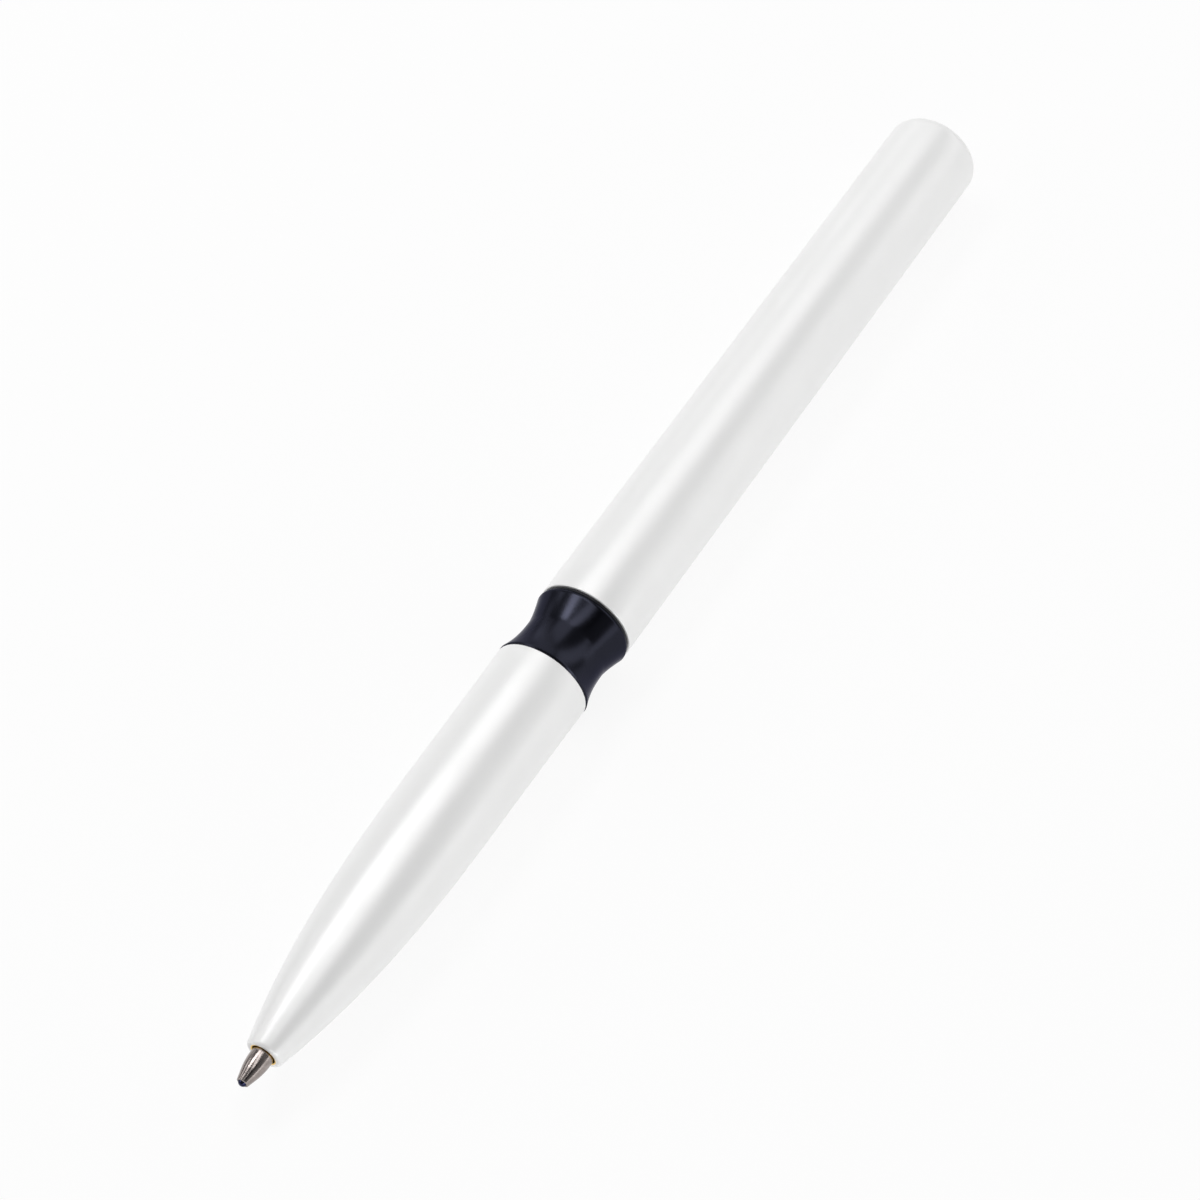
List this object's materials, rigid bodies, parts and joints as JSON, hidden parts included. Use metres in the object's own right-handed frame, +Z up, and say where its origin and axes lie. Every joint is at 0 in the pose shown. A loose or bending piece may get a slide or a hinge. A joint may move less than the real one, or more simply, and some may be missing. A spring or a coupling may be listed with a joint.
{
  "type": "twist-action ballpoint pen",
  "caption": "Slim twist-action ballpoint pen: white barrel halves joined by a black waisted ring, with a metal writing tip that slides out when the rear half turns.",
  "frame": {"origin": "middle of the pen's length, under its axis, on the table that it lies on", "axes": "+X along the pen from the writing tip to the closed end, +Z up from the table"},
  "size_m": [0.137, 0.0104, 0.0105],
  "materials": {
    "white_lacquer": "satin white lacquer on brass",
    "black_gloss": "polished blue-black",
    "black_plastic": "moulded black",
    "brass": "turned brass",
    "natural_plastic": "moulded natural plastic",
    "seal_rubber": "black rubber",
    "spring_steel": "bright drawn wire",
    "refill_steel": "drawn steel tube",
    "nickel_silver": "turned nickel silver",
    "ink": "dark blue paste",
    "grease": "pale grease",
    "carbide": "polished carbide"
  },
  "bodies": {
    "grip": {"front_barrel": "white_lacquer", "centre_ring": "black_gloss", "slip_washer": "black_plastic", "thread_bush": "brass", "threaded_collar": "brass", "guide_sleeve": "natural_plastic", "friction_ring": "seal_rubber", "retaining_clip": "spring_steel", "return_spring": "spring_steel"},
    "barrel": {"rear_barrel": "white_lacquer", "rotor_casing": "brass", "cam_sleeve": "black_plastic", "casing_cap": "black_plastic"},
    "refill": {"driver": "natural_plastic", "refill_tube": "refill_steel", "refill_neck": "natural_plastic", "tip_cone": "nickel_silver", "refill_plug": "natural_plastic", "ink": "ink", "ink_follower": "grease"},
    "ball": {"writing_ball": "carbide"}
  },
  "joints": [
    {"name": "barrel_twist", "type": "hinge", "parent": "grip", "child": "barrel", "pos_m": [0, 0, 0.00523], "axis": [1, 0, 0], "range_deg": [0, 180]},
    {"name": "refill_slide", "type": "slide", "parent": "grip", "child": "refill", "axis": [1, 0, 0], "range_m": [0, 0.0055], "deforming": ["return_spring"]},
    {"name": "ball_roll", "type": "hinge", "parent": "refill", "child": "ball", "pos_m": [-0.06799, 0, 0.00523], "axis": [0, 1, 0], "continuous": true}
  ],
  "couplings": [
    {"joint": "refill_slide", "follows": "barrel_twist", "m_per_rad": 0.0017507}
  ]
}
